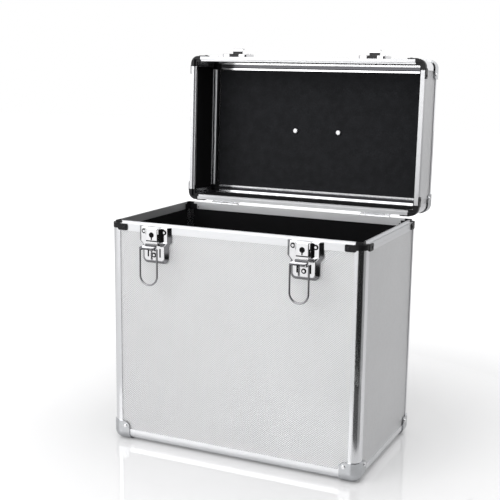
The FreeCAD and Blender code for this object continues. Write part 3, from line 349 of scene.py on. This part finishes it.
# Boards have the two axes that lie in them. Steel has its colour, roughness, cloud size and relief,
# plastic its colour, roughness, grain size, relief and gloss, and felt two colours, its sheen and relief.
finishes = {
    "boardXZ": boardFinish("silver board front", 0, 2),
    "boardYZ": boardFinish("silver board side", 1, 2),
    "boardXY": boardFinish("silver board top", 0, 1),
    "profileX": profileFinish("aluminium across", (drawn, 1, 1)),
    "profileY": profileFinish("aluminium deep", (1, drawn, 1)),
    "profileZ": profileFinish("aluminium upright", (1, 1, drawn)),
    "strip": stripFinish("lid channel"),
    "rimX": satinFinish("satin rim across", (drawn, 1, 1)),
    "rimY": satinFinish("satin rim deep", (1, drawn, 1)),
    # The lid's rim: a darker copy of the satin rim, painted shade
    "lidRim": satinFinish("satin lid rim, painted shade", (drawn, 1, 1), 0.72),
    "lever": leverFinish("bright lever"),
    "strike": strikeFinish("strike nickel"),
    "cap": pressedSteel("zinc plated steel", (0.54, 0.55, 0.565), 0.20, 0.012, 0.00003),
    "rivet": pressedSteel("polished rivet", (0.86, 0.86, 0.87), 0.12, 0.003, 0.00001),
    "screw": pressedSteel("black screw", (0.035, 0.035, 0.038), 0.30, 0.003, 0.00001),
    "latch_steel": pressedSteel("bright nickel", (0.90, 0.90, 0.91), 0.07, 0.006, 0.000008),
    "hinge_steel": pressedSteel("bright zinc", (0.66, 0.665, 0.68), 0.24, 0.010, 0.00002),
    "handle_metal": pressedSteel("handle plate steel", (0.64, 0.645, 0.66), 0.26, 0.010, 0.00002),
    # The skirt is coloured dark: painted shade and dark reflection on the latch plate's sloping edge
    "skirt": pressedSteel("skirt steel, painted shade and dark reflection", (0.27, 0.27, 0.28), 0.14, 0.004, 0.000008),
    "bolt": pressedSteel("bolt steel", (0.50, 0.50, 0.51), 0.26, 0.004, 0.00002),
    # The bail wire is coloured dark: painted dark reflection on a bright wire
    "wire": pressedSteel("bail wire, painted dark reflection", (0.30, 0.30, 0.31), 0.10, 0.004, 0.000008),
    "spring": pressedSteel("spring wire", (0.42, 0.42, 0.43), 0.28, 0.002, 0.00001),
    "black_plastic": mouldedPlastic("black rim plastic", (0.007, 0.007, 0.008), 0.36, 0.0009, 0.00003, 0.22),
    "grip": mouldedPlastic("black grip plastic", (0.020, 0.020, 0.022), 0.46, 0.0007, 0.00005),
    # Black for the pieces of painted shade on the latches
    "shadeBlack": feltFinish("painted shade black", (0.002, 0.002, 0.002), (0.007, 0.007, 0.007), 0.0, 0.00002),
    "wall_lining": feltFinish("black liner", (0.0015, 0.0015, 0.0018), (0.005, 0.005, 0.006), 0.0, 0.00010),
    "felt": feltFinish("dark grey felt", (0.006, 0.0063, 0.0073), (0.026, 0.027, 0.031), 0.1, 0.00018),
}
boardOf = {"front": "boardXZ", "rear": "boardXZ", "left": "boardYZ", "right": "boardYZ", "bottom": "boardXY"}
lidBoardOf = {"front": "boardXY", "rear": "boardXY", "left": "boardYZ", "right": "boardYZ", "top": "boardXZ"}


def finishOf(node, slot):
    if node.endswith("_bail"):
        return finishes["wire"]
    if node.endswith("_strike"):
        return finishes["strike"]
    if node == "handle_bolts":
        return finishes["bolt"]
    if slot == "board":
        side = node.split("_")[-2]
        return finishes[(lidBoardOf if node.startswith("lid") else boardOf)[side]]
    if node.endswith("latch_lever"):
        return finishes["lever"]
    if slot == "profile":
        if node == "lid_rims":
            return finishes["lidRim"]
        if node.endswith("_rim"):
            return finishes["rimY" if node.startswith(("left", "right")) else "rimX"]
        if node == "lid_angle_strips":
            return finishes["strip"]
        if "post" in node:
            return finishes["profileY" if node.startswith("lid") else "profileZ"]
        return finishes["profileY" if node.startswith(("left", "right")) else "profileX"]
    return finishes[slot]


for entry in frame["record"]["subparts"]:
    piece = nodes[entry["node"]]
    piece.data.materials.clear()
    piece.data.materials.append(finishOf(entry["node"], entry["material_slot"]))
print("finishes:", len(finishes))


# Small fittings that the frame's solids carry
weld = 1e-6
sharpEdge = math.radians(35)


def addPiece(name, shape, finish, body):
    mesh = bpy.data.meshes.new(name)
    bmesh.ops.recalc_face_normals(shape, faces=shape.faces)
    for face in shape.faces:
        face.smooth = True
    for edge in shape.edges:
        edge.smooth = len(edge.link_faces) != 2 or edge.calc_face_angle() < sharpEdge
    shape.to_mesh(mesh)
    shape.free()
    mesh.materials.append(finishes[finish])
    piece = bpy.data.objects.new(name, mesh)
    bpy.context.scene.collection.objects.link(piece)
    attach(piece, body)
    return piece


# Turns an outline of (distance from the axis, height along it) about an axis through the centre
def turned(shape, outline, centre, axis, steps):
    along = Vector(axis).normalized()
    across = along.orthogonal().normalized()
    verts = [shape.verts.new(Vector(centre) + across * radius + along * height) for radius, height in outline]
    edges = [shape.edges.new(pair) for pair in zip(verts, verts[1:] + verts[:1])]
    bmesh.ops.spin(shape, geom=verts + edges, cent=centre, axis=along, angle=2 * math.pi, steps=steps,
                   use_merge=True, use_duplicate=False)


def block(shape, size, place):
    verts = bmesh.ops.create_cube(shape, size=1.0)["verts"]
    bmesh.ops.scale(shape, vec=size, verts=verts)
    bmesh.ops.translate(shape, vec=place, verts=verts)


# A thin wall from a chain of points, pushed along an axis and then thickened
def bentSheet(shape, points, push, thickness):
    verts = [shape.verts.new(point) for point in points]
    edges = [shape.edges.new(pair) for pair in zip(verts, verts[1:])]
    grown = bmesh.ops.extrude_edge_only(shape, edges=edges)["geom"]
    far = [item for item in grown if isinstance(item, bmesh.types.BMVert)]
    bmesh.ops.translate(shape, vec=push, verts=far)
    bmesh.ops.recalc_face_normals(shape, faces=shape.faces)
    bmesh.ops.solidify(shape, geom=shape.faces[:], thickness=thickness)


# The lowest and highest corners of each separate solid in a node
def islands(node):
    shape = bmesh.new()
    shape.from_mesh(nodes[node].data)
    bmesh.ops.remove_doubles(shape, verts=shape.verts, dist=weld)
    left = set(shape.verts)
    boxes = []
    for first in shape.verts:
        if first not in left:
            continue
        left.remove(first)
        front = [first]
        group = []
        while front:
            vert = front.pop()
            group.append(vert.co.copy())
            for edge in vert.link_edges:
                other = edge.other_vert(vert)
                if other in left:
                    left.remove(other)
                    front.append(other)
        boxes.append([Vector(pick(co[axis] for co in group) for axis in range(3)) for pick in (min, max)])
    shape.free()
    return boxes


# Where each latch's middle is, its plate's face and the lock plate's front
latchCentres = {"left": -0.112, "right": 0.104}
plateFace = -0.14865
lockFront = -0.15575

skirt = {
    "top": 0.3092, "shoulder": 0.2895, "waist": 0.2840, "bottom": 0.2637,
    "half": 0.0205, "lowHalf": 0.0157,
    "foot": -0.1442, "flare": 0.0040, "behind": 0.0003, "corner": 0.0075, "cornerSteps": 6, "skin": 0.0004,
}


# The skirt slopes from the latch plate's edge down to the board, and is cut off level at the top
def makeSkirt(side, centre):
    shape = bmesh.new()
    wide, low = skirt["half"] + skirt["flare"], skirt["lowHalf"] + skirt["flare"]
    outline = [(-wide, skirt["top"] + skirt["flare"]), (-wide, skirt["shoulder"]), (-low, skirt["waist"]),
               (-low, skirt["bottom"] - skirt["flare"])]
    outline += [(-x, z) for x, z in reversed(outline)]
    verts = [shape.verts.new((centre + x, skirt["foot"], z)) for x, z in outline]
    shape.faces.new(verts)
    bottomCorners = [verts[3], verts[4]]
    bmesh.ops.bevel(shape, geom=bottomCorners, affect="VERTICES", segments=skirt["cornerSteps"],
                    offset=skirt["corner"], offset_type="OFFSET", profile=0.5, material=-1)
    face = max(shape.faces, key=lambda item: item.calc_area())
    face.normal_update()
    if face.normal.y > 0:
        bmesh.ops.reverse_faces(shape, faces=[face])
        face.normal_update()
    bmesh.ops.inset_region(shape, faces=[face], thickness=skirt["flare"],
                           depth=skirt["foot"] - plateFace - skirt["behind"],
                           use_even_offset=True, use_boundary=True)
    bmesh.ops.delete(shape, geom=[face], context="FACES_ONLY")
    bmesh.ops.bisect_plane(shape, geom=shape.verts[:] + shape.edges[:] + shape.faces[:], dist=weld,
                           plane_co=(0, 0, skirt["top"]), plane_no=(0, 0, 1), clear_outer=True)
    bmesh.ops.solidify(shape, geom=shape.faces[:], thickness=skirt["skin"])
    addPiece(side + "_latch_skirt", shape, "skirt", "case")


lining = {"from": 0.01145, "to": 0.0130, "front": -0.1549, "low": 0.2892, "high": 0.3068, "thickness": 0.0001}


# Painted shade: a black sheet on the plate and the cheek beside the lock
def makeLockShade(side, centre):
    shape = bmesh.new()
    back = plateFace - lining["thickness"]
    corners = (lining["to"], back), (lining["from"], back), (lining["from"], lining["front"])
    bentSheet(shape, [(centre + x, y, lining["low"]) for x, y in corners],
              (0, 0, lining["high"] - lining["low"]), lining["thickness"])
    addPiece(side + "_lock_shade_sheet", shape, "shadeBlack", "case")


shadePlates = {"aside": 0.009, "depth": -0.14735, "middle": 0.27465, "size": (0.0036, 0.0001, 0.0135)}


# Painted shade: black plates behind the two slots
def makeSlotShade(side, centre):
    shape = bmesh.new()
    for way in (-1, 1):
        block(shape, shadePlates["size"], (centre + way * shadePlates["aside"], shadePlates["depth"], shadePlates["middle"]))
    addPiece(side + "_slot_shade", shape, "shadeBlack", "case")


# Keyhole: a black disc of painted shade whose outline is (share of its radius, height), with a tail below it
keyhole = {
    "height": 0.2996, "radius": 0.0037, "bore": 0.0001, "steps": 36,
    "outline": ((1, 0), (1, 0.00012), (0.9, 0.0002), (0.3, 0.0001)),
    "tailHalf": 0.0009, "tail": 0.0040, "tailDrop": 0.0010,
}
crease = {"half": 0.0082, "height": 0.2915, "high": 0.0015}
plateThickness = 0.00015
plateOut = 0.00007


def makeKeyhole(side, centre):
    shape = bmesh.new()
    radius, bore = keyhole["radius"], keyhole["bore"]
    outline = [(radius * share, height) for share, height in keyhole["outline"]]
    turned(shape, [(bore, 0), *outline, (bore, keyhole["outline"][-1][1])],
           (centre, lockFront, keyhole["height"]), (0, -1, 0), keyhole["steps"])
    block(shape, (2 * keyhole["tailHalf"], plateThickness, keyhole["tail"]),
          (centre, lockFront - plateOut, keyhole["height"] - radius - keyhole["tailDrop"]))
    addPiece(side + "_keyhole_shade", shape, "shadeBlack", side + "_lever")


# Painted shade: the dark line under the lock plate
def makeCreaseShade(side, centre):
    shape = bmesh.new()
    block(shape, (2 * crease["half"], plateThickness, crease["high"]),
          (centre, lockFront - plateOut, crease["height"]))
    addPiece(side + "_lock_crease_shade", shape, "shadeBlack", side + "_lever")


# Under the shelf, on the bail's axis: a coil spring, and a sleeve beside it, black as painted shade under the
# shelf
bailAxis = (-0.16355, 0.2827)
coil = {
    "from": 0.0015, "pitch": 0.00095, "turns": 6, "turnSteps": 14, "radius": 0.0024,
    "wire": 0.00042, "sides": 6,
}
sleeve = {"from": -0.0083, "to": 0.0010, "radius": 0.0018, "endShare": 0.8, "bevel": 0.0003, "steps": 24}


def makeSpring(side, centre):
    shape = bmesh.new()
    y, z = bailAxis
    start = centre + coil["from"]
    foot = (start, y, z - coil["radius"])
    ring = bmesh.ops.create_circle(shape, segments=coil["sides"], radius=coil["wire"])["verts"]
    bmesh.ops.translate(shape, vec=foot, verts=ring)
    bmesh.ops.rotate(shape, verts=ring, cent=foot, matrix=Matrix.Rotation(math.radians(90), 3, "X"))
    steps = coil["turns"] * coil["turnSteps"]
    bmesh.ops.spin(shape, geom=ring + shape.edges[:], cent=(start, y, z), axis=(1, 0, 0), steps=steps,
                   dvec=(coil["pitch"] * coil["turns"] / steps, 0, 0), angle=2 * math.pi * coil["turns"],
                   use_duplicate=False)
    bmesh.ops.holes_fill(shape, edges=[edge for edge in shape.edges if edge.is_boundary])
    addPiece(side + "_latch_spring", shape, "spring", side + "_lever")


def makeSleeve(side, centre):
    shape = bmesh.new()
    low, high, radius, bevel = (sleeve[key] for key in ("from", "to", "radius", "bevel"))
    end = radius * sleeve["endShare"]
    turned(shape, [(end, low), (radius, low + bevel), (radius, high - bevel), (end, high)],
           (centre, *bailAxis), (1, 0, 0), sleeve["steps"])
    addPiece(side + "_bail_sleeve_shade", shape, "shadeBlack", side + "_lever")


# Painted shade: dark rings round the rivet heads of the latch plates; the outline is (share of the radius,
# height)
rivetShade = {
    "radius": 0.0035, "outline": ((0.48, 0), (1, 0), (0.97, 0.0003), (0.80, 0.0010), (0.48, 0.00118)),
    "steps": 24, "widestRivet": 0.01,
}


def makeRivetShadeRings():
    shape = bmesh.new()
    outline = [(rivetShade["radius"] * share, height) for share, height in rivetShade["outline"]]
    middles = [(low + high) / 2 for low, high in islands("body_rivets")
               if low.y < plateFace and high.x - low.x < rivetShade["widestRivet"]]
    for middle in middles:
        turned(shape, outline, (middle.x, plateFace, middle.z), (0, -1, 0), rivetShade["steps"])
    print("rivet rings:", len(middles))
    addPiece("latch_rivet_shade_rings", shape, "shadeBlack", "case")


for side, centre in latchCentres.items():
    for makeFitting in (makeSkirt, makeLockShade, makeSlotShade, makeKeyhole, makeCreaseShade, makeSpring, makeSleeve):
        makeFitting(side, centre)
makeRivetShadeRings()
print("latch fittings ready")


# Studio: cards are turned from the front to the right, in degrees, about the case's upright axis
studio = {
    "floorHalf": 6.0, "floorColour": (0.80, 0.80, 0.805), "floorGloss": 0.05, "floorLift": (0.10, 0.60),
    "liftFrom": (0.26, 0.9), "mirrorFade": (0.22, 0.46, 0.6, 0.0),
    "worldLevel": 0.60, "aim": (0, -0.05, 0.25),
    "key": {"place": (-1.4, -2.6, 1.4), "size": 2.4, "power": 42},
    "top": {"place": (0.2, -0.2, 2.6), "size": 1.6, "power": 20},
    "cardRoughness": 0.9, "cardSteps": 24,
    "cards": (
        {"name": "darkCard", "distance": 0.6, "from": 16, "to": 66, "high": 0.9, "grey": 0.008},
        {"name": "footCard", "distance": 0.34, "from": 31, "to": 55.5, "high": 0.09, "grey": 0.12},
        {"name": "footGrey", "distance": 0.34, "from": 55.5, "to": 71, "high": 0.09, "grey": 0.45},
        {"name": "backCard", "distance": 0.6, "from": 198, "to": 232, "high": 0.9, "grey": 0.15},
        {"name": "greyCard", "distance": 0.6, "from": 66, "to": 92, "high": 0.9, "grey": 0.45},
    ),
}


# The surface's own shader for lighting, and plain white where the camera, metal or glass looks at it
def whiteForView(tree, own):
    path = addNode(tree, "ShaderNodeLightPath").outputs
    seen = math2(tree, "MAXIMUM", math2(tree, "MAXIMUM", path["Is Camera Ray"], path["Is Glossy Ray"]),
                 path["Is Transmission Ray"])
    white = addNode(tree, "ShaderNodeBackground", Color=(1, 1, 1, 1), Strength=1.0)
    return addNode(tree, "ShaderNodeMixShader", i0=seen, i1=own, i2=white.outputs[0]).outputs[0]


def makeWorld():
    world = bpy.data.worlds.new("studio")
    bpy.context.scene.world = world
    world.use_nodes = True
    tree = world.node_tree
    own = tree.nodes["Background"]
    own.inputs["Color"].default_value = (1, 1, 1, 1)
    own.inputs["Strength"].default_value = studio["worldLevel"]
    tree.links.new(whiteForView(tree, own.outputs[0]), tree.nodes["World Output"].inputs[0])


# A pale floor that fades to the white of the background away from the case, and mirrors it softly
def makeFloor():
    material, tree, shader = newMaterial("pale floor", studio["floorColour"], studio["floorGloss"])
    place = addNode(tree, "ShaderNodeTexCoord").outputs["Object"]
    away = addNode(tree, "ShaderNodeVectorMath", {"operation": "LENGTH"}, Vector=place).outputs["Value"]
    level = remap(tree, away, *studio["liftFrom"], *studio["floorLift"])
    tree.links.new(remap(tree, away, *studio["mirrorFade"]), shader.inputs["Specular IOR Level"])
    lift = addNode(tree, "ShaderNodeEmission", Strength=level).outputs[0]
    lit = addNode(tree, "ShaderNodeAddShader", i0=shader.outputs[0], i1=lift).outputs[0]
    seen = addNode(tree, "ShaderNodeLightPath").outputs["Is Camera Ray"]
    both = addNode(tree, "ShaderNodeMixShader", i0=seen, i1=shader.outputs[0], i2=lit).outputs[0]
    tree.links.new(both, tree.nodes["Material Output"].inputs[0])
    mesh = bpy.data.meshes.new("floor")
    shape = bmesh.new()
    bmesh.ops.create_grid(shape, x_segments=1, y_segments=1, size=studio["floorHalf"])
    shape.to_mesh(mesh)
    shape.free()
    mesh.materials.append(material)
    floor = bpy.data.objects.new("floor", mesh)
    bpy.context.scene.collection.objects.link(floor)


def softLight(name, place, size, power):
    data = bpy.data.lights.new(name, "AREA")
    data.size = size
    data.energy = power
    light = bpy.data.objects.new(name, data)
    bpy.context.scene.collection.objects.link(light)
    light.location = place
    aim = Vector(studio["aim"]) - Vector(place)
    light.rotation_euler = aim.to_track_quat("-Z", "Y").to_euler()


# A curved card that stands on the floor round part of the case, and that only reflections see
def makeCard(card):
    material = newMaterial(card["name"], (card["grey"],) * 3, studio["cardRoughness"])[0]
    mesh = bpy.data.meshes.new(card["name"])
    shape = bmesh.new()
    start = math.radians(card["from"])
    edge = [shape.verts.new((card["distance"] * math.sin(start), -card["distance"] * math.cos(start), height))
            for height in (0, card["high"])]
    geometry = edge + [shape.edges.new(edge)]
    bmesh.ops.spin(shape, geom=geometry, cent=(0, 0, 0), axis=(0, 0, 1), steps=studio["cardSteps"],
                   use_duplicate=False, angle=math.radians(card["to"] - card["from"]))
    shape.to_mesh(mesh)
    shape.free()
    mesh.materials.append(material)
    screen = bpy.data.objects.new(card["name"], mesh)
    bpy.context.scene.collection.objects.link(screen)
    screen.visible_camera = False
    screen.visible_diffuse = False
    screen.visible_shadow = False


makeWorld()
makeFloor()
for card in studio["cards"]:
    makeCard(card)
for name in ("key", "top"):
    softLight(name, **studio[name])
bpy.context.scene.view_settings.view_transform = "Standard"
print("studio ready")
